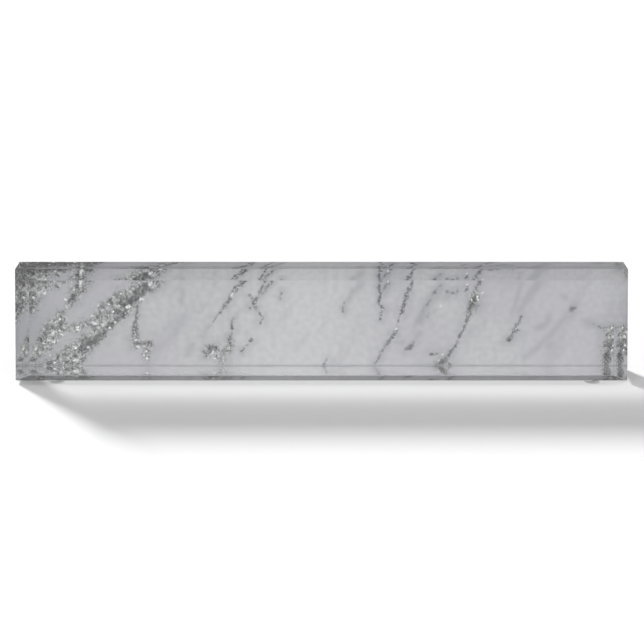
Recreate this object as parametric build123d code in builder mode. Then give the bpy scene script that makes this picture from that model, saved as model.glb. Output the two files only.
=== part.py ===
"""Desk name plate: a clear acrylic wedge with a bevelled front, a print bonded to its back, and clear feet.

X runs along the plate, the front faces -Y and Z is up. The origin is on the desk, under the middle of the plate.
Lengths are in millimetres and angles in degrees.
"""

import os
from math import atan2, cos, hypot, radians, sin, tan

from build123d import *

# Wedge block. The blank is the wedge before its front edges are bevelled.
plate_length = 254.0
block_height = 45.0
blank_base_depth = 27.0
blank_top_depth = 16.0

# Bevels round the front face. Widths are measured along the face, from its flat to the outer edge.
# Those at the ends are wider and the one at the toe is narrower, but all four end at the same depth.
# Every edge of the block is then rounded a little by polishing.
bevel_angle = 45.0
bevel_width = 4.7
side_bevel_width = 6.5
toe_bevel_width = 2.4
polished_edge_radius = 0.3

# Print layers, bonded one behind another to the block's back and trimmed flush with it
adhesive_thickness = 0.15
film_thickness = 0.25
backing_thickness = 0.5
layer_corner_radius = 0.5

# Feet: domed pads, each on its own adhesive disc. Gaps run from a pad's rim to the edges of the base.
foot_diameter = 7.0
foot_flat_diameter = 4.4
foot_height = 0.95
foot_adhesive_diameter = 6.2
foot_adhesive_thickness = 0.15
foot_end_gap = 12.0
foot_edge_gap = 1.0

# Section of the blank: its slope, and where the front face meets the two bevels across it
face_run = blank_base_depth - blank_top_depth
face_slope = atan2(face_run, block_height)
face_length = hypot(face_run, block_height)
bevel_lean = radians(bevel_angle)
bevel_depth = bevel_width * tan(bevel_lean)
side_lean = atan2(bevel_depth, side_bevel_width)
toe_lean = atan2(bevel_depth, toe_bevel_width)
toe_edge = toe_bevel_width * (1 + tan(toe_lean) * tan(face_slope))
top_edge = face_length - bevel_width * (1 - tan(bevel_lean) * tan(face_slope))
toe_setback = toe_edge * sin(face_slope)
toe_cut = toe_setback + toe_edge * cos(face_slope) * tan(toe_lean - face_slope)

# Heights and depths in the plate's own frame
layer_stack = adhesive_thickness + film_thickness + backing_thickness
overall_depth = blank_base_depth - toe_setback + layer_stack
back_y = overall_depth / 2 - layer_stack
blank_front_y = back_y - blank_base_depth
base_z = foot_height + foot_adhesive_thickness
top_z = base_z + block_height

front = Plane(
    origin=(0, blank_front_y, base_z),
    x_dir=(1, 0, 0),
    z_dir=(0, -cos(face_slope), sin(face_slope)),
)


def bevel_plane(outward, across, up, lean):
    """The plane of one bevel, which leaves the front face at (across, up) and falls away outward."""
    normal = outward * sin(lean) + front.z_dir * cos(lean)
    return Plane(origin=front.from_local_coords((across, up, 0)), z_dir=normal)


def save(part, node):
    """Label a finished piece and write it under its node's name."""
    part.label = node
    export_step(part, f"parts/{node}.step")


os.makedirs("parts", exist_ok=True)

# Acrylic block: the wedge blank, cut back by the four bevels, which meet in mitres at the corners
end_edge = plate_length / 2 - side_bevel_width
with BuildPart() as acrylic_block:
    with BuildSketch(Plane.YZ):
        with BuildLine():
            Polyline(
                (blank_front_y, base_z),
                (back_y, base_z),
                (back_y, top_z),
                (back_y - blank_top_depth, top_z),
                close=True,
            )
        make_face()
    extrude(amount=plate_length / 2, both=True)
    split(bisect_by=bevel_plane(front.y_dir, 0, top_edge, bevel_lean), keep=Keep.BOTTOM)
    split(bisect_by=bevel_plane(-front.y_dir, 0, toe_edge, toe_lean), keep=Keep.BOTTOM)
    split(bisect_by=bevel_plane(front.x_dir, end_edge, 0, side_lean), keep=Keep.BOTTOM)
    split(bisect_by=bevel_plane(-front.x_dir, -end_edge, 0, side_lean), keep=Keep.BOTTOM)
    fillet(acrylic_block.edges(), radius=polished_edge_radius)
save(acrylic_block.part, "acrylic_block")

# Print layers: clear adhesive, printed film and opaque backing, cut to the outline of the back
layer_thicknesses = {
    "print_adhesive": adhesive_thickness,
    "print_film": film_thickness,
    "backing_sheet": backing_thickness,
}
layer_y = back_y
for node, thickness in layer_thicknesses.items():
    with BuildPart() as layer:
        layer_plane = Plane(
            origin=(0, layer_y, base_z + block_height / 2),
            x_dir=(-1, 0, 0),
            z_dir=(0, 1, 0),
        )
        with BuildSketch(layer_plane):
            RectangleRounded(plate_length, block_height, layer_corner_radius)
        extrude(amount=thickness)
    save(layer.part, node)
    layer_y += thickness

# Feet: one near each corner of the base, flat where they stand on the desk
foot_radius = foot_diameter / 2
foot_flat_radius = foot_flat_diameter / 2
foot_inset = foot_edge_gap + foot_radius
foot_places = {"front": blank_front_y + toe_cut + foot_inset, "rear": back_y - foot_inset}
foot_sides = {"left": -1, "right": 1}
for row, foot_y in foot_places.items():
    for side, sign in foot_sides.items():
        foot_x = sign * (plate_length / 2 - foot_end_gap - foot_radius)

        with BuildPart() as foot:
            with BuildSketch(Plane(origin=(foot_x, foot_y, 0), x_dir=(1, 0, 0), z_dir=(0, -1, 0))):
                with BuildLine():
                    Polyline((foot_flat_radius, 0), (0, 0), (0, foot_height), (foot_radius, foot_height))
                    TangentArc((foot_flat_radius, 0), (foot_radius, foot_height), tangent=(1, 0))
                make_face()
            revolve(axis=Axis((foot_x, foot_y, 0), (0, 0, 1)))
        save(foot.part, f"foot_{row}_{side}")

        with BuildPart() as foot_adhesive:
            with BuildSketch(Plane(origin=(foot_x, foot_y, foot_height))):
                Circle(foot_adhesive_diameter / 2)
            extrude(amount=foot_adhesive_thickness)
        save(foot_adhesive.part, f"foot_adhesive_{row}_{side}")
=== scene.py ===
"""Desk name plate: looks for the clear acrylic wedge, its marble print, white backing and clear feet."""

import math

import bmesh
import bpy
import numpy as np
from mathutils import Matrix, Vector


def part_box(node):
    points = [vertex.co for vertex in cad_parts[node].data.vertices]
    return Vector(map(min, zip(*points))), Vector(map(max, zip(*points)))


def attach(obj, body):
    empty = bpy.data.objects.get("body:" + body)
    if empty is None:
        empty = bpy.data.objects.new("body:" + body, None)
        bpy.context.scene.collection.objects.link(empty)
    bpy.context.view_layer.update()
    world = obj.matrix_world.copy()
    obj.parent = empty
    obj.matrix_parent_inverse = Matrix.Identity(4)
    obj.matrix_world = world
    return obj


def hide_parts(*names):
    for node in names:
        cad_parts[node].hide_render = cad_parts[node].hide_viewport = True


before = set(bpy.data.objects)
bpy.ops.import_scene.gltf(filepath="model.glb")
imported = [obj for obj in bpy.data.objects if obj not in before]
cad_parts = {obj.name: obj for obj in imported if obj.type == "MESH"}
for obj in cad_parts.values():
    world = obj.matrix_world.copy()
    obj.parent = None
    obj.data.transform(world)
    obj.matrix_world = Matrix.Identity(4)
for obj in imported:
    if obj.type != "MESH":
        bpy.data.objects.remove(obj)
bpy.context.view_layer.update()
MM = 0.001

# Print sheet. Its face lies just inside the block's back, so that the two are in optical contact.
bond_overlap = 0.02 * MM
print_cell = 0.45 * MM

# Foot adhesive. It stops just short of the base, so that no two faces lie in one plane.
tape_clearance = 0.03 * MM
tape_edge = 0.04 * MM
tape_segments = 64

# Glitter bands. Each point is (share of the print's width, share of its height, half width as share of
# its height), and a half width below 0 is a faint stroke.
glitter_band_shares = (
    # Dense corner at the upper left, down the end and along the top
    ((0.006, 0.46, 0.04), (0.008, 0.55, 0.1), (0.01, 0.64, 0.135), (0.012, 0.75, 0.16), (0.012, 1.0, 0.17)),
    ((0.02, 0.86, 0.13), (0.05, 0.87, 0.125), (0.078, 0.91, 0.1)),
    # Streak that leaves the corner
    ((0.118, 1.0, 0.11), (0.112, 0.9, 0.085), (0.107, 0.82, 0.055), (0.098, 0.74, 0.05)),
    ((0.098, 0.74, 0.05), (0.091, 0.66, 0.042), (0.083, 0.59, 0.024)),
    # Main band, from the top edge down to the lower left
    ((0.262, 1.0, 0.05), (0.24, 0.9, 0.055), (0.22, 0.81, 0.06), (0.197, 0.72, 0.075), (0.174, 0.62, 0.1)),
    ((0.174, 0.62, 0.1), (0.15, 0.51, 0.115), (0.134, 0.41, 0.1), (0.13, 0.31, 0.06), (0.108, 0.21, 0.075)),
    ((0.108, 0.21, 0.075), (0.088, 0.11, 0.095), (0.07, 0.02, 0.095), (0.055, -0.02, 0.095)),
    # Second band beside it, the bridge between the two, and the lower left corner
    ((0.068, 0.5, 0.03), (0.066, 0.44, 0.065), (0.061, 0.38, 0.09), (0.052, 0.31, 0.085)),
    ((0.052, 0.31, 0.085), (0.045, 0.24, 0.075), (0.034, 0.16, 0.055)),
    ((0.034, 0.16, 0.05), (0.026, 0.09, 0.026), (0.016, 0.04, 0.012)),
    ((0.075, 0.36, 0.025), (0.09, 0.36, 0.03), (0.105, 0.4, 0.025), (0.12, 0.42, 0.035)),
    ((0.0, 0.0, 0.03), (0.035, -0.02, 0.03), (0.06, 0.02, 0.05)),
    # Curl under the short stroke
    ((0.191, 0.26, 0.018), (0.194, 0.2, 0.026)),
    ((0.2, 0.205, 0.015), (0.214, 0.22, 0.028)),
    ((0.21, 0.15, 0.022), (0.211, 0.08, 0.016)),
    # Cluster left of the middle
    ((0.31, 0.135, 0.025), (0.319, 0.15, 0.05), (0.325, 0.17, 0.03)),
    ((0.347, 0.2, 0.02), (0.343, 0.16, 0.028), (0.337, 0.12, 0.02), (0.336, 0.05, 0.016)),
    # Swelling of the strong vein, and its foot
    ((0.753, 0.7, 0.02), (0.752, 0.64, 0.04), (0.747, 0.56, 0.035), (0.744, 0.52, 0.015)),
    ((0.708, 0.07, 0.012), (0.7, 0.03, 0.02), (0.689, -0.03, 0.026)),
    # Cluster at the right end
    ((0.982, 0.37, 0.025), (0.981, 0.3, 0.06), (0.98, 0.22, 0.065)),
    ((0.98, 0.22, 0.065), (0.975, 0.12, 0.04), (0.97, -0.02, 0.022)),
    ((1.0, 0.41, 0.02), (0.99, 0.36, 0.025)),
    ((0.99, 0.28, 0.05), (0.992, 0.2, 0.06), (0.99, 0.13, 0.03)),
    # Specks at the upper right corner
    ((0.955, 0.97, 0.005), (0.965, 0.95, 0.01)),
    ((0.985, 0.98, 0.015), (0.993, 0.9, 0.02)),
)

# Dark clumps within the glitter, with points of the same three shares
dark_clump_shares = (
    # Corner and its streak
    ((0.008, 0.94, 0.075), (0.046, 0.95, 0.07)),
    ((0.06, 0.95, 0.06), (0.085, 0.96, 0.06)),
    ((0.1, 0.96, 0.065), (0.13, 0.97, 0.055)),
    ((0.005, 0.88, 0.07), (0.02, 0.86, 0.08)),
    ((0.03, 0.85, 0.05), (0.075, 0.88, 0.06)),
    ((0.018, 0.7, 0.03), (0.022, 0.62, 0.03)),
    ((0.109, 0.85, 0.03), (0.118, 0.86, 0.03)),
    ((0.09, 0.68, 0.02), (0.092, 0.655, 0.025)),
    ((0.0, 0.55, 0.05), (0.015, 0.57, 0.03)),
    # Lower edge of the main band, and the second band
    ((0.212, 0.75, 0.03), (0.2, 0.7, 0.035), (0.185, 0.63, 0.04), (0.172, 0.61, 0.035)),
    ((0.16, 0.53, 0.025), (0.175, 0.48, 0.03), (0.16, 0.42, 0.03), (0.147, 0.33, 0.035), (0.13, 0.26, 0.045)),
    ((0.13, 0.26, 0.045), (0.112, 0.23, 0.025), (0.104, 0.17, 0.025), (0.098, 0.14, 0.02)),
    ((0.038, 0.27, 0.012), (0.05, 0.39, 0.012)),
    # Curl, cluster, swelling and right end
    ((0.191, 0.22, 0.012), (0.199, 0.215, 0.012)),
    ((0.205, 0.22, 0.012), (0.215, 0.225, 0.018)),
    ((0.309, 0.13, 0.015), (0.318, 0.2, 0.012), (0.327, 0.175, 0.018)),
    ((0.752, 0.64, 0.03), (0.745, 0.55, 0.025)),
    ((0.708, 0.07, 0.012), (0.69, -0.02, 0.02)),
    ((0.979, 0.22, 0.02), (0.974, 0.08, 0.025), (0.97, 0.0, 0.025)),
    ((0.998, 0.19, 0.05), (0.988, 0.24, 0.02)),
)

# Thin veins, with points of the same three shares
thin_vein_shares = (
    # Short stroke
    ((0.197, 0.6, 0.002), (0.194, 0.46, 0.018), (0.192, 0.38, 0.03), (0.191, 0.29, 0.028)),
    # Vein left of the middle, and a short one below it
    ((0.385, 1.0, 0.03), (0.383, 0.93, 0.03), (0.38, 0.87, 0.026), (0.371, 0.82, 0.022)),
    ((0.371, 0.82, 0.022), (0.367, 0.785, 0.022), (0.358, 0.74, 0.02), (0.352, 0.69, 0.017)),
    ((0.352, 0.69, 0.014), (0.348, 0.64, 0.018), (0.34, 0.58, 0.014), (0.331, 0.505, 0.008)),
    ((0.331, 0.505, 0.004), (0.317, 0.4, -0.004), (0.303, 0.28, -0.01)),
    ((0.353, 0.46, 0.006), (0.351, 0.33, 0.012), (0.347, 0.25, 0.016)),
    # Net of fine veins beside it
    ((0.42, 1.0, 0.004), (0.414, 0.92, 0.006), (0.408, 0.86, 0.012), (0.405, 0.8, 0.008)),
    ((0.405, 0.8, 0.008), (0.394, 0.66, 0.01), (0.388, 0.6, 0.018), (0.396, 0.53, 0.007)),
    ((0.396, 0.53, 0.007), (0.403, 0.46, 0.008), (0.399, 0.41, 0.004)),
    ((0.438, 0.97, 0.005), (0.425, 0.86, 0.006), (0.41, 0.76, 0.01), (0.403, 0.7, 0.008)),
    ((0.382, 0.69, 0.01), (0.385, 0.64, 0.012), (0.388, 0.6, 0.014)),
    ((0.383, 0.565, 0.008), (0.382, 0.555, 0.008)),
    ((0.435, 0.71, 0.004), (0.431, 0.655, 0.009)),
    ((0.384, 0.25, 0.014), (0.379, 0.225, 0.01), (0.367, 0.14, 0.004)),
    # Three veins right of the middle
    ((0.597, 1.0, 0.014), (0.6, 0.93, 0.012), (0.599, 0.86, 0.008), (0.594, 0.76, 0.012)),
    ((0.594, 0.76, 0.012), (0.597, 0.69, 0.009), (0.594, 0.62, 0.012), (0.6, 0.565, 0.014)),
    ((0.6, 0.565, 0.014), (0.597, 0.45, 0.004)),
    ((0.619, 0.93, 0.01), (0.615, 0.87, 0.018), (0.608, 0.79, 0.01), (0.602, 0.74, 0.006)),
    ((0.651, 1.0, 0.014), (0.651, 0.94, 0.02), (0.657, 0.88, 0.01), (0.65, 0.82, 0.005)),
    ((0.65, 0.82, 0.005), (0.645, 0.75, 0.015), (0.64, 0.67, 0.02), (0.633, 0.55, 0.016)),
    ((0.633, 0.55, 0.016), (0.628, 0.45, 0.005), (0.626, 0.37, 0.008), (0.618, 0.285, 0.018)),
    ((0.618, 0.285, 0.018), (0.608, 0.22, 0.009), (0.6, 0.14, 0.007), (0.586, -0.01, 0.005)),
    ((0.641, 0.16, 0.016), (0.646, 0.165, 0.018), (0.651, 0.22, 0.014)),
    # Fine veins left of the strong one
    ((0.697, 0.79, -0.004), (0.687, 0.72, 0.006), (0.68, 0.65, -0.002), (0.673, 0.59, 0.008)),
    ((0.673, 0.59, 0.008), (0.666, 0.53, -0.004)),
    ((0.68, 0.53, -0.002), (0.675, 0.47, 0.006)),
    ((0.724, 0.72, 0.01), (0.716, 0.7, 0.01)),
    ((0.709, 0.725, 0.009), (0.707, 0.72, 0.009)),
    ((0.737, 0.89, 0.014), (0.734, 0.87, 0.012)),
    ((0.74, 0.76, 0.014), (0.739, 0.73, 0.012)),
    # Strong vein, its fork and its branch
    ((0.782, 1.0, 0.014), (0.775, 0.96, 0.013), (0.764, 0.85, 0.012), (0.758, 0.79, 0.014)),
    ((0.758, 0.79, 0.014), (0.753, 0.73, 0.016), (0.751, 0.64, 0.024), (0.745, 0.54, 0.022)),
    ((0.745, 0.54, 0.022), (0.741, 0.45, 0.013), (0.735, 0.36, 0.01), (0.729, 0.29, 0.012)),
    ((0.729, 0.29, 0.012), (0.723, 0.21, 0.01), (0.711, 0.1, 0.014), (0.694, 0.0, 0.02)),
    ((0.769, 0.84, 0.006), (0.79, 0.85, 0.006), (0.801, 0.885, 0.009), (0.816, 0.85, 0.005)),
    ((0.682, 0.115, 0.011), (0.692, 0.118, 0.009)),
    ((0.707, 0.045, 0.012), (0.715, 0.0, 0.016)),
    # Strokes in the right half
    ((0.83, 0.48, 0.008), (0.826, 0.42, 0.012), (0.822, 0.38, 0.014)),
    ((0.822, 0.38, 0.014), (0.816, 0.31, 0.015), (0.809, 0.25, 0.018)),
    ((0.825, 0.35, 0.01), (0.823, 0.34, 0.008)),
    ((0.917, 0.565, 0.016), (0.911, 0.535, 0.014)),
    ((0.934, 0.435, -0.014), (0.95, 0.415, -0.006), (0.963, 0.37, 0.006), (0.974, 0.365, 0.01)),
    # Faint strokes in the middle
    ((0.509, 0.06, 0.005), (0.503, 0.0, 0.009)),
    ((0.537, 0.61, 0.005), (0.535, 0.53, 0.006)),
)

# Soft grey smudges, with points of the same three shares
smudge_shares = (
    ((0.0, 0.46, 0.06), (0.004, 0.3, 0.06), (0.004, 0.1, 0.05)),
    ((0.828, 0.8, 0.0), (0.82, 0.6, 0.01), (0.815, 0.485, 0.0)),
    ((0.871, 0.91, 0.04), (0.853, 0.77, 0.03), (0.84, 0.655, 0.025), (0.826, 0.53, 0.015)),
    ((0.878, 0.485, 0.012), (0.871, 0.41, 0.018), (0.86, 0.37, 0.024)),
    ((0.907, 0.507, 0.012), (0.894, 0.4, 0.012), (0.878, 0.305, 0.014)),
    ((0.878, 0.305, 0.014), (0.853, 0.15, 0.012), (0.838, 0.085, 0.01)),
    ((0.878, 0.205, 0.018), (0.876, 0.195, 0.016)),
    ((0.901, 0.67, 0.012), (0.901, 0.66, 0.012)),
    ((0.552, 0.72, 0.01), (0.543, 0.62, 0.012), (0.536, 0.55, 0.012)),
    ((0.567, 0.79, 0.014), (0.558, 0.73, 0.01)),
    ((0.698, 0.76, 0.03), (0.69, 0.7, 0.04), (0.676, 0.61, 0.03), (0.662, 0.44, 0.02)),
    ((0.715, 0.72, 0.03), (0.705, 0.67, 0.03)),
    ((0.662, 0.31, 0.012), (0.65, 0.22, 0.02), (0.64, 0.15, 0.016)),
    ((0.598, 0.85, 0.014), (0.594, 0.74, 0.02), (0.595, 0.6, 0.014)),
    ((0.286, 0.2, 0.012), (0.277, 0.105, 0.012)),
    ((0.271, 0.73, 0.008), (0.269, 0.62, 0.008)),
    ((0.431, 0.92, 0.025), (0.42, 0.83, 0.03), (0.406, 0.74, 0.025), (0.396, 0.66, 0.015)),
    ((0.62, 0.233, 0.006), (0.633, 0.233, 0.006)),
    ((0.94, 0.43, 0.03), (0.965, 0.37, 0.03)),
    ((1.0, 0.55, 0.05), (0.998, 0.45, 0.04)),
)

# Large white flakes, as short strokes with points of the same three shares
white_flake_shares = (
    ((0.103, 0.8, 0.016), (0.105, 0.83, 0.02)),
    ((0.043, 0.7, 0.014), (0.045, 0.71, 0.014)),
    ((0.216, 0.78, 0.016), (0.219, 0.8, 0.02)),
    ((0.178, 0.57, 0.015), (0.183, 0.58, 0.017)),
    ((0.122, 0.42, 0.018), (0.126, 0.41, 0.018)),
    ((0.138, 0.4, 0.016), (0.139, 0.39, 0.014)),
    ((0.094, 0.37, 0.014), (0.097, 0.375, 0.014)),
    ((0.055, 0.31, 0.017), (0.057, 0.33, 0.017)),
    ((0.055, 0.23, 0.014), (0.058, 0.24, 0.014)),
    ((0.089, 0.05, 0.014), (0.096, 0.06, 0.014)),
    ((0.025, 0.16, 0.012), (0.028, 0.17, 0.012)),
    ((0.192, 0.25, 0.014), (0.193, 0.255, 0.014)),
    ((0.194, 0.19, 0.015), (0.197, 0.18, 0.014)),
    ((0.209, 0.14, 0.012), (0.21, 0.145, 0.012)),
    ((0.21, 0.08, 0.012), (0.211, 0.07, 0.013)),
    ((0.352, 0.68, 0.015), (0.354, 0.7, 0.013)),
    ((0.319, 0.13, 0.013), (0.321, 0.14, 0.012)),
    ((0.6, 0.93, 0.013), (0.601, 0.935, 0.013)),
    ((0.609, 0.82, 0.013), (0.61, 0.83, 0.013)),
    ((0.623, 0.35, 0.012), (0.625, 0.36, 0.012)),
    ((0.696, 0.56, 0.012), (0.697, 0.58, 0.014)),
    ((0.74, 0.78, 0.012), (0.74, 0.79, 0.013)),
    ((0.769, 0.9, 0.014), (0.77, 0.91, 0.013)),
    ((0.757, 0.665, 0.014), (0.758, 0.675, 0.013)),
    ((0.764, 0.705, 0.012), (0.766, 0.715, 0.012)),
    ((0.7, 0.11, 0.012), (0.702, 0.115, 0.012)),
    ((0.823, 0.4, 0.009), (0.824, 0.405, 0.009)),
    ((0.98, 0.37, 0.012), (0.981, 0.375, 0.012)),
    ((0.983, 0.285, 0.018), (0.985, 0.28, 0.016)),
    ((0.986, 0.33, 0.012), (0.989, 0.32, 0.012)),
    ((0.981, 0.95, 0.01), (0.985, 0.99, 0.01)),
)

# The tables by the name of the mesh attribute that carries how deep each point lies in them
design_shares = {
    "glitter_depth": glitter_band_shares,
    "vein_depth": thin_vein_shares,
    "smudge_depth": smudge_shares,
    "flake_depth": white_flake_shares,
    "clump_depth": dark_clump_shares,
}

# Sizes of the features in the materials, in millimetres
stone_patch = 45.0
stone_mottle = 2.4
smoke_streak = 9.0
halo_patch = 8.0
vein_wander = 1.7
vein_break = 2.6
vein_grain = 0.6
glitter_wander = 3.0
small_flake = 0.62
large_flake = 1.25
white_flake = 0.9
flake_clump = 2.2
dust_speck = 0.5
film_grain = 0.5
polish_mark = 35.0
backing_mark = 28.0
backing_grain = 0.6
backing_grain_depth = 0.05
foot_cloud = 2.5

# Smoky streaks lean to the right and are drawn out along their length
smoke_lean = math.radians(58)
smoke_stretch_share = 0.25

# How many cells within a full band hold a white flake
white_flake_chance = 0.028

# Polished edge of the front face, and the painted shade strip along the front of the top, measured from the
# back
polish_roughness = 0.02
arris_roughness = 0.9
top_shade_start = 5.5 * MM
top_shade_end = 7.5 * MM

# Dusky left end and pale middle of the stone, as shares of the print's length from its middle and ends,
# and the painted shade line along the print's foot, in millimetres
dusky_reach_share = 0.24
pale_middle_share = -0.03
pale_reach_share = 0.22
foot_shade_height = 0.45
foot_shade_blur = 0.1

# Camera, from the photograph
camera_elevation = math.radians(16.22)
camera_distance = 0.7704
camera_aim = Vector((0.0002, -0.00045, 0.02374))
camera_lens = 103.39
camera_sensor = 36.0

# Light. Shadow shades are the shares of light let by for shadows, set to match the photograph: the
# render has no caustics, so the sheets let light by low down, as the wedge bends it to the floor in front.
world_front_level = 1.64
world_back_level = 0.2
world_fade = (-0.9, 0.55)
sun_strength = 7.0
sun_angle = math.radians(10)
sun_azimuth = math.radians(31)
sun_elevation = math.radians(23.6)
floor_shade = 0.64
floor_half = 6.0
floor_rim_half = 10.0
floor_rim_rise = 0.2
floor_drop = 0.02 * MM
clear_shadow_shade = 0.92
end_shadow_shade = 0.03
sheet_shadow_shade = 0.895
sheet_shadow_shares = (0.36, 0.78)


def srgb(red, green, blue):
    """A colour as it should look, in 0 to 255, as linear values."""
    parts = [c / 255 for c in (red, green, blue)]
    return (*[p / 12.92 if p <= 0.04045 else ((p + 0.055) / 1.055) ** 2.4 for p in parts], 1)


class Shader:
    """A material under construction, with short ways to add its nodes."""

    def __init__(self, name):
        self.material = bpy.data.materials.new(name)
        self.material.use_nodes = True
        self.tree = self.material.node_tree
        self.tree.nodes.clear()
        self.output = self.add("OutputMaterial")

    def add(self, kind, **settings):
        node = self.tree.nodes.new("ShaderNode" + kind)
        for key, value in settings.items():
            setattr(node, key, value)
        return node

    def fill(self, socket, value):
        """Links an output to a socket, or sets the socket's own value."""
        if isinstance(value, bpy.types.NodeSocket):
            self.tree.links.new(value, socket)
        else:
            socket.default_value = value

    def math(self, operation, *values):
        node = self.add("Math", operation=operation)
        for socket, value in zip(node.inputs, values):
            self.fill(socket, value)
        return node.outputs[0]

    def vector(self, operation, *values):
        node = self.add("VectorMath", operation=operation)
        for socket, value in zip(node.inputs, values):
            self.fill(socket, value)
        return node.outputs["Vector"]

    def rise(self, value, low, high):
        """Goes smoothly from 0 at low to 1 at high."""
        node = self.add("MapRange", interpolation_type="SMOOTHSTEP")
        for socket, number in zip(node.inputs, (value, low, high, 0.0, 1.0)):
            self.fill(socket, number)
        return node.outputs["Result"]

    def noise(self, vector, size, detail=2.0):
        """Noise with features of about the given size."""
        node = self.add("TexNoise")
        self.fill(node.inputs["Vector"], vector)
        node.inputs["Scale"].default_value = 1 / size
        node.inputs["Detail"].default_value = detail
        return node.outputs["Fac"]

    def cells(self, vector, size):
        """Random cells, with two random numbers for each."""
        node = self.add("TexVoronoi", voronoi_dimensions="2D")
        self.fill(node.inputs["Vector"], vector)
        node.inputs["Scale"].default_value = 1 / size
        parts = self.add("SeparateColor")
        self.fill(parts.inputs[0], node.outputs["Color"])
        return parts.outputs[0], parts.outputs[1]

    def ramp(self, value, stops):
        node = self.add("ValToRGB")
        elements = node.color_ramp.elements
        while len(elements) < len(stops):
            elements.new(0.5)
        for element, (place, colour) in zip(elements, stops):
            element.position = place
            element.color = colour
        self.fill(node.inputs["Fac"], value)
        return node.outputs["Color"]

    def split(self, vector):
        """The three parts of a vector."""
        node = self.add("SeparateXYZ")
        self.fill(node.inputs[0], vector)
        return node.outputs

    def grey(self, value):
        """A grey of the given linear value."""
        node = self.add("CombineColor")
        for socket in node.inputs:
            self.fill(socket, value)
        return node.outputs[0]

    def mix(self, factor, first, second):
        node = self.add("Mix", data_type="RGBA")
        self.fill(node.inputs[0], factor)
        self.fill(node.inputs[6], first)
        self.fill(node.inputs[7], second)
        return node.outputs[2]

    def principled(self, **values):
        node = self.add("BsdfPrincipled")
        for key, value in values.items():
            self.fill(node.inputs[key.replace("_", " ")], value)
        return node

    def finish(self, shader):
        self.tree.links.new(shader.outputs[0], self.output.inputs["Surface"])
        return self.material


def millimetres(shader):
    """Object coordinates in millimetres."""
    return shader.vector("MULTIPLY", shader.add("TexCoord").outputs["Object"], (1 / MM, 1 / MM, 1 / MM))


def shadow_through(shader, surface, colour):
    """Lets light of the given colour straight through for shadows only."""
    through = shader.add("BsdfTransparent")
    shader.fill(through.inputs["Color"], colour)
    choice = shader.add("MixShader")
    shader.fill(choice.inputs[0], shader.add("LightPath").outputs["Is Shadow Ray"])
    shader.fill(choice.inputs[1], surface.outputs[0])
    shader.fill(choice.inputs[2], through.outputs[0])
    return shader.finish(choice)


def clear(shader, surface):
    """Gives a clear material the pale shadow of a clear part."""
    return shadow_through(shader, surface, (clear_shadow_shade, clear_shadow_shade, clear_shadow_shade, 1))


def block_shadow(shader, surface):
    """Gives the block a pale shadow that is darker through its ends, which turn light aside."""
    normal = shader.split(shader.add("NewGeometry").outputs["True Normal"])
    ends = shader.rise(shader.math("ABSOLUTE", normal[0]), 0.85, 0.95)
    passed = shader.math("MULTIPLY_ADD", ends, end_shadow_shade - clear_shadow_shade, clear_shadow_shade)
    return shadow_through(shader, surface, shader.grey(passed))


def sheet(shader, surface):
    """Gives a bonded sheet a shadow that is thin low down and full towards the top."""
    low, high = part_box("backing_sheet")
    place = shader.split(shader.add("NewGeometry").outputs["Position"])
    start, end = (low.z + (high.z - low.z) * share for share in sheet_shadow_shares)
    passed = shader.math("SUBTRACT", 1.0, shader.rise(place[2], start, end))
    return shadow_through(shader, surface, shader.grey(shader.math("MULTIPLY", passed, sheet_shadow_shade)))


def acrylic_material():
    """Polished cast acrylic: faint marks of hand polishing, with painted shade as a darker tint on the toe
    bevel, a slight one on the top face and a grey strip along the top's front.
    """
    shader = Shader("polished_acrylic")
    handled = shader.noise(millimetres(shader), polish_mark, 3.0)
    roughness = shader.math("MULTIPLY", shader.rise(handled, 0.5, 0.8), polish_roughness)
    facing = shader.add("NewGeometry")
    normal = shader.split(facing.outputs["True Normal"])
    upward = shader.math("MULTIPLY_ADD", normal[2], 0.5, 0.5)
    outward = shader.math("MULTIPLY_ADD", facing.outputs["Backfacing"], -2.0, 1.0)
    lean = shader.math("MULTIPLY", normal[2], outward)
    arris = shader.math("MULTIPLY", shader.rise(lean, -0.6, -0.5), shader.rise(lean, -0.06, -0.14))
    roughness = shader.math("MULTIPLY_ADD", arris, arris_roughness, roughness)
    # Painted shade: the toe bevel and, faintly, the top face are tinted darker than the clear acrylic's own
    # 252 tint
    tint_and_painted_shade = shader.ramp(
        upward,
        (
            (0.04, srgb(252, 253, 254)),
            (0.08, srgb(121, 121, 123)),
            (0.16, srgb(121, 121, 123)),
            (0.2, srgb(252, 253, 254)),
            (0.94, srgb(252, 253, 254)),
            (0.99, srgb(248, 248, 250)),
        ),
    )
    place = shader.split(facing.outputs["Position"])
    _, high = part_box("acrylic_block")
    # Painted shade: a greyer strip along the front of the top face
    top_shade = shader.rise(place[1], high.y - top_shade_start, high.y - top_shade_end)
    top_shade = shader.math("MULTIPLY", top_shade, shader.rise(upward, 0.96, 0.99))
    tint_and_painted_shade = shader.mix(top_shade, tint_and_painted_shade, srgb(206, 206, 208))
    surface = shader.principled(Base_Color=tint_and_painted_shade, Roughness=roughness, IOR=1.49, Transmission_Weight=1.0)
    return block_shadow(shader, surface)


def print_plane(shader):
    """The print's own plane: along the plate and up it, in millimetres."""
    place = shader.split(millimetres(shader))
    flat = shader.add("CombineXYZ")
    shader.fill(flat.inputs[0], place[0])
    shader.fill(flat.inputs[1], place[2])
    return flat.outputs[0]


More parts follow.
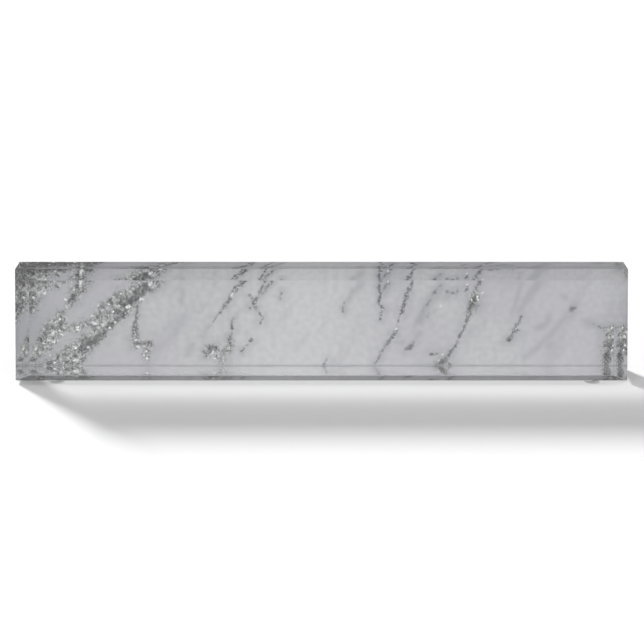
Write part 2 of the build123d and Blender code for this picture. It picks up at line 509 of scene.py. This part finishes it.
def marble_base(shader, plane, halo):
    """Pale marble with lilac and neutral patches, smoky streaks that lean right, and dusky vein edges."""
    patches = shader.rise(shader.noise(plane, stone_patch, 1.0), 0.42, 0.62)
    stone = shader.mix(patches, srgb(189, 188, 192), srgb(194, 194, 195))
    low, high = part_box("print_film")
    along = shader.split(plane)[0]
    length = (high.x - low.x) / MM
    far = shader.math("ABSOLUTE", shader.math("SUBTRACT", along, length * pale_middle_share))
    pale = shader.math("SUBTRACT", 1.0, shader.rise(far, 0.0, length * pale_reach_share))
    stone = shader.mix(pale, stone, srgb(203, 203, 204))
    end = shader.math("SUBTRACT", along, low.x / MM)
    dusk = shader.math("SUBTRACT", 1.0, shader.rise(end, 0.0, length * dusky_reach_share))
    stone = shader.mix(shader.math("MULTIPLY", dusk, 0.5), stone, srgb(151, 151, 156))
    mottle = shader.rise(shader.noise(plane, stone_mottle, 3.0), 0.3, 0.7)
    mottle = shader.math("MULTIPLY", mottle, shader.math("MULTIPLY_ADD", pale, -0.16, 0.42))
    stone = shader.mix(mottle, stone, srgb(167, 167, 173))
    turn = shader.add("VectorRotate", rotation_type="Z_AXIS")
    shader.fill(turn.inputs["Vector"], plane)
    turn.inputs["Angle"].default_value = -smoke_lean
    leaning = shader.vector("MULTIPLY", turn.outputs[0], (smoke_stretch_share, 1.0, 1.0))
    smoke = shader.rise(shader.noise(leaning, smoke_streak, 5.0), 0.5, 0.75)
    smoke = shader.math("MULTIPLY", smoke, 0.5)
    stone = shader.mix(smoke, stone, srgb(160, 160, 167))
    return shader.mix(shader.math("MULTIPLY", halo, 0.55), stone, srgb(150, 150, 156))


def marble_veins(shader, plane, stone, depth):
    """Thin veins of dark and pale grains, smoky at their edges and broken up along their length."""
    wander = shader.math("SUBTRACT", shader.noise(plane, vein_wander, 4.0), 0.5)
    edge = shader.math("MULTIPLY_ADD", wander, 2.8, depth)
    strength = shader.rise(shader.noise(plane, vein_break, 3.0), 0.25, 0.6)
    strength = shader.math("MULTIPLY_ADD", strength, 0.42, 0.44)
    line = shader.math("MULTIPLY", shader.rise(edge, -0.6, 0.45), strength)
    _, grain = shader.cells(plane, vein_grain)
    grains = shader.ramp(
        grain,
        (
            (0.0, srgb(44, 44, 49)),
            (0.5, srgb(76, 76, 81)),
            (0.8, srgb(126, 126, 130)),
            (1.0, srgb(204, 204, 206)),
        ),
    )
    return shader.mix(line, stone, grains)


def glitter_flakes(shader, plane, marble, depth, dark_depth, white_depth):
    """Glitter: small and large flakes that fade into the stone at the edges of a band, under white ones."""
    wander = shader.math("SUBTRACT", shader.noise(plane, glitter_wander, 4.0), 0.5)
    cover = shader.rise(shader.math("MULTIPLY_ADD", wander, 4.6, depth), -2.2, 1.5)
    chance, small = shader.cells(plane, small_flake)
    _, large = shader.cells(plane, large_flake)
    tone = shader.math("MULTIPLY_ADD", small, 0.6, shader.math("MULTIPLY", large, 0.4))
    clump = shader.math("SUBTRACT", shader.noise(plane, flake_clump, 3.0), 0.5)
    tone = shader.math("MULTIPLY_ADD", clump, 0.7, tone)
    dusk = shader.rise(shader.math("MULTIPLY_ADD", wander, 1.5, dark_depth), -1.2, 0.8)
    tone = shader.math("MULTIPLY", tone, shader.math("MULTIPLY_ADD", dusk, -0.36, 1.0))
    tone = shader.math("MULTIPLY_ADD", dusk, -0.08, tone)
    flakes = shader.ramp(
        tone,
        (
            (0.0, srgb(40, 40, 41)),
            (0.25, srgb(101, 101, 101)),
            (0.5, srgb(145, 145, 144)),
            (0.75, srgb(177, 177, 176)),
            (1.0, srgb(212, 212, 211)),
        ),
    )
    speck, _ = shader.cells(plane, dust_speck)
    dust = shader.rise(shader.math("MULTIPLY_ADD", wander, 5.0, depth), -4.5, 0.5)
    dust = shader.math("MULTIPLY", dust, shader.math("MULTIPLY", shader.rise(speck, 0.4, 0.95), 0.55))
    marble = shader.mix(dust, marble, flakes)
    shown = shader.math("MULTIPLY_ADD", cover, 1.65, shader.math("MULTIPLY", chance, -0.75))
    shown = shader.math("MINIMUM", shader.math("MAXIMUM", shown, 0.0), 0.95)
    marble = shader.mix(shown, marble, flakes)
    spark, shade = shader.cells(plane, white_flake)
    bright = shader.math("GREATER_THAN", spark, shader.math("MULTIPLY_ADD", cover, -white_flake_chance, 1.0))
    ragged = shader.math("SUBTRACT", shader.noise(plane, white_flake, 2.0), 0.5)
    placed = shader.rise(shader.math("MULTIPLY_ADD", ragged, 1.2, white_depth), -0.05, 0.35)
    bright = shader.math("MAXIMUM", bright, placed)
    white = shader.mix(shade, srgb(198, 198, 197), srgb(238, 238, 238))
    return shader.mix(bright, marble, white)


def painted_foot_shade(shader, plane, colour):
    """A fine painted shade line along the print's foot, where it meets the base."""
    low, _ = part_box("print_film")
    height = shader.math("SUBTRACT", shader.split(plane)[1], low.z / MM)
    line = shader.math("SUBTRACT", 1.0, shader.rise(height, foot_shade_height - foot_shade_blur, foot_shade_height + foot_shade_blur))
    return shader.mix(shader.math("MULTIPLY", line, 0.55), colour, srgb(112, 112, 116))


def print_material():
    """The marble design: pale stone, thin veins and bands of silver glitter."""
    shader = Shader("marble_print")
    plane = print_plane(shader)
    band, vein, smudge, flake, clump = (
        shader.add("Attribute", attribute_name=name).outputs["Fac"] for name in design_shares
    )
    halo = shader.math("MAXIMUM", shader.rise(band, -6.0, 1.0), shader.rise(vein, -4.0, 0.0))
    halo = shader.math("MULTIPLY", halo, shader.rise(shader.noise(plane, halo_patch, 3.0), 0.3, 0.7))
    halo = shader.math("MAXIMUM", halo, shader.math("MULTIPLY", shader.rise(smudge, -2.2, 1.0), 0.9))
    stone = marble_base(shader, plane, halo)
    stone = marble_veins(shader, plane, stone, vein)
    colour = glitter_flakes(shader, plane, stone, band, clump, flake)
    colour = painted_foot_shade(shader, plane, colour)
    grain = shader.noise(plane, film_grain, 2.0)
    roughness = shader.math("MULTIPLY_ADD", grain, 0.2, 0.4)
    return sheet(shader, shader.principled(Base_Color=colour, Roughness=roughness))


def backing_material():
    """White plastic sheet with a fine matt grain and faint handling marks."""
    shader = Shader("white_backing")
    place = millimetres(shader)
    marks = shader.rise(shader.noise(place, backing_mark, 4.0), 0.45, 0.8)
    colour = shader.mix(marks, srgb(236, 236, 234), srgb(226, 226, 223))
    grain = shader.add("Bump")
    grain.inputs["Strength"].default_value = 0.15
    grain.inputs["Distance"].default_value = backing_grain_depth * MM
    shader.fill(grain.inputs["Height"], shader.noise(place, backing_grain, 2.0))
    roughness = shader.math("MULTIPLY_ADD", marks, 0.15, 0.45)
    surface = shader.principled(Base_Color=colour, Roughness=roughness, Normal=grain.outputs["Normal"])
    return sheet(shader, surface)


def foot_material():
    """Clear polyurethane, cloudy through its thickness."""
    shader = Shader("clear_polyurethane")
    cloud = shader.noise(millimetres(shader), foot_cloud, 3.0)
    surface = shader.principled(
        Base_Color=shader.mix(cloud, srgb(244, 245, 244), srgb(252, 252, 252)),
        Roughness=shader.math("MULTIPLY_ADD", cloud, 0.15, 0.15),
        IOR=1.5,
        Transmission_Weight=0.4,
    )
    return clear(shader, surface)


def floor_material():
    shader = Shader("studio_floor")
    surface = shader.add("BsdfDiffuse")
    surface.inputs["Color"].default_value = (floor_shade, floor_shade, floor_shade, 1)
    return shader.finish(surface)


def add_piece(name, mesh, material, slot, *nodes):
    """Places a finished mesh as a piece of the object that stands for the given nodes."""
    piece = bpy.data.objects.new(name, mesh)
    bpy.context.scene.collection.objects.link(piece)
    mesh.materials.append(material)
    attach(piece, "root")
    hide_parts(*nodes)


def band_depth(points, bands, size):
    """How far inside the nearest band each point of the print lies, in millimetres, or below 0 outside."""
    best = np.full(len(points), -np.inf)
    for band in bands:
        path = np.array(band) * (size[0], size[1], size[1])
        for start, end in zip(path[:-1], path[1:]):
            run = end - start
            share = np.clip((points - start[:2]) @ run[:2] / (run[:2] @ run[:2]), 0, 1)[:, None]
            near = start + share * run
            best = np.maximum(best, near[:, 2] - np.linalg.norm(points - near[:, :2], axis=1))
    return best / MM


def make_print_sheet():
    """The printed film with its adhesive, as one sheet whose face carries the design."""
    low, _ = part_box("print_adhesive")
    _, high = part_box("print_film")
    front_y = low.y - bond_overlap
    size = (high.x - low.x, high.z - low.z)
    columns = round(size[0] / print_cell)
    rows = round(size[1] / print_cell)
    bm = bmesh.new()
    across = [low.x + size[0] * i / columns for i in range(columns + 1)]
    upward = [low.z + size[1] * j / rows for j in range(rows + 1)]
    grid = [[bm.verts.new((x, front_y, z)) for x in across] for z in upward]
    for lower, upper in zip(grid[:-1], grid[1:]):
        for i in range(columns):
            bm.faces.new((lower[i], lower[i + 1], upper[i + 1], upper[i]))
    rim = [e for e in bm.edges if e.is_boundary]
    grown = bmesh.ops.extrude_edge_only(bm, edges=rim)
    back = [v for v in grown["geom"] if isinstance(v, bmesh.types.BMVert)]
    bmesh.ops.translate(bm, verts=back, vec=(0, high.y - front_y, 0))
    bmesh.ops.holes_fill(bm, edges=[e for e in bm.edges if e.is_boundary], sides=0)
    bmesh.ops.recalc_face_normals(bm, faces=bm.faces)
    mesh = bpy.data.meshes.new("print_sheet")
    bm.to_mesh(mesh)
    bm.free()
    points = np.array([(v.co.x - low.x, v.co.z - low.z) for v in mesh.vertices])
    for name, bands in design_shares.items():
        layer = mesh.attributes.new(name, "FLOAT", "POINT")
        layer.data.foreach_set("value", band_depth(points, bands, size))
    add_piece("print_sheet", mesh, print_material(), "marble_print", "print_adhesive", "print_film")


def make_foot_tape(row, side, material):
    """The adhesive disc of one foot, turned from a section with softened edges."""
    node = f"foot_adhesive_{row}_{side}"
    low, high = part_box(node)
    middle = (low + high) / 2
    radius = (high.x - low.x) / 2
    top = high.z - tape_clearance
    section = [
        (0, low.z), (radius - tape_edge, low.z), (radius, low.z + tape_edge),
        (radius, top - tape_edge), (radius - tape_edge, top), (0, top),
    ]
    bm = bmesh.new()
    verts = [bm.verts.new((middle.x + r, middle.y, z)) for r, z in section]
    edges = [bm.edges.new(pair) for pair in zip(verts[:-1], verts[1:])]
    bmesh.ops.spin(
        bm, geom=verts + edges, cent=(middle.x, middle.y, 0), axis=(0, 0, 1),
        angle=math.tau, steps=tape_segments, use_merge=True,
    )
    bmesh.ops.remove_doubles(bm, verts=bm.verts, dist=tape_edge / 10)
    bmesh.ops.recalc_face_normals(bm, faces=bm.faces)
    mesh = bpy.data.meshes.new(f"foot_tape_{row}_{side}")
    bm.to_mesh(mesh)
    bm.free()
    add_piece(mesh.name, mesh, material, "clear_adhesive", node)


def dress(node, material):
    """Gives a CAD node a material of the scene's own."""
    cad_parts[node].material_slots[0].material = material


def aimed(name, data, place, direction):
    """Adds a lamp or camera that looks along a direction."""
    thing = bpy.data.objects.new(name, data)
    thing.location = place
    thing.rotation_mode = "QUATERNION"
    thing.rotation_quaternion = direction.to_track_quat("-Z", "Y")
    bpy.context.scene.collection.objects.link(thing)
    return thing


def make_stage():
    """A pale floor with a low rim, a soft sky that dims towards the back, and a soft sun for the shadow."""
    mesh = bpy.data.meshes.new("floor")
    corners = ((-1, -1), (1, -1), (1, 1), (-1, 1))
    levels = ((floor_half, -floor_drop), (floor_rim_half, floor_rim_rise))
    places = [(x * half, y * half, level) for half, level in levels for x, y in corners]
    rim = [(i, i + 4, (i + 1) % 4 + 4, (i + 1) % 4) for i in range(4)]
    mesh.from_pydata(places, [], [(0, 1, 2, 3), *rim])
    mesh.materials.append(floor_material())
    floor = bpy.data.objects.new("floor", mesh)
    bpy.context.scene.collection.objects.link(floor)

    world = bpy.data.worlds.new("studio")
    world.use_nodes = True
    tree = world.node_tree
    background = tree.nodes["Background"]
    coords = tree.nodes.new("ShaderNodeTexCoord")
    turn = tree.nodes.new("ShaderNodeVectorMath")
    turn.operation = "DOT_PRODUCT"
    turn.inputs[1].default_value = (0, 1, 0)
    fade = tree.nodes.new("ShaderNodeMapRange")
    fade.interpolation_type = "SMOOTHSTEP"
    fade.inputs["From Min"].default_value, fade.inputs["From Max"].default_value = world_fade
    fade.inputs["To Min"].default_value = world_front_level
    fade.inputs["To Max"].default_value = world_back_level
    tree.links.new(coords.outputs["Generated"], turn.inputs[0])
    tree.links.new(turn.outputs["Value"], fade.inputs["Value"])
    tree.links.new(fade.outputs["Result"], background.inputs["Strength"])
    background.inputs["Color"].default_value = (1, 1, 1, 1)
    bpy.context.scene.world = world

    sun = bpy.data.lights.new("sun", "SUN")
    sun.energy = sun_strength
    sun.angle = sun_angle
    level = Vector((math.sin(sun_azimuth), -math.cos(sun_azimuth), 0)) * math.cos(sun_elevation)
    heading = level - Vector((0, 0, math.sin(sun_elevation)))
    lamp = aimed("sun", sun, -heading, heading)
    lit = bpy.data.collections.new("lit_by_sun")
    lit.objects.link(floor)
    lamp.light_linking.receiver_collection = lit


def make_camera():
    data = bpy.data.cameras.new("camera")
    data.lens = camera_lens
    data.sensor_width = camera_sensor
    heading = Vector((0, math.cos(camera_elevation), -math.sin(camera_elevation)))
    bpy.context.scene.camera = aimed("camera", data, camera_aim - heading * camera_distance, heading)
    bpy.context.scene.view_settings.view_transform = "Standard"


dress("acrylic_block", acrylic_material())
dress("backing_sheet", backing_material())
make_print_sheet()
rubber = foot_material()
for row in ("front", "rear"):
    for side in ("left", "right"):
        dress(f"foot_{row}_{side}", rubber)
        make_foot_tape(row, side, rubber)
make_stage()
make_camera()
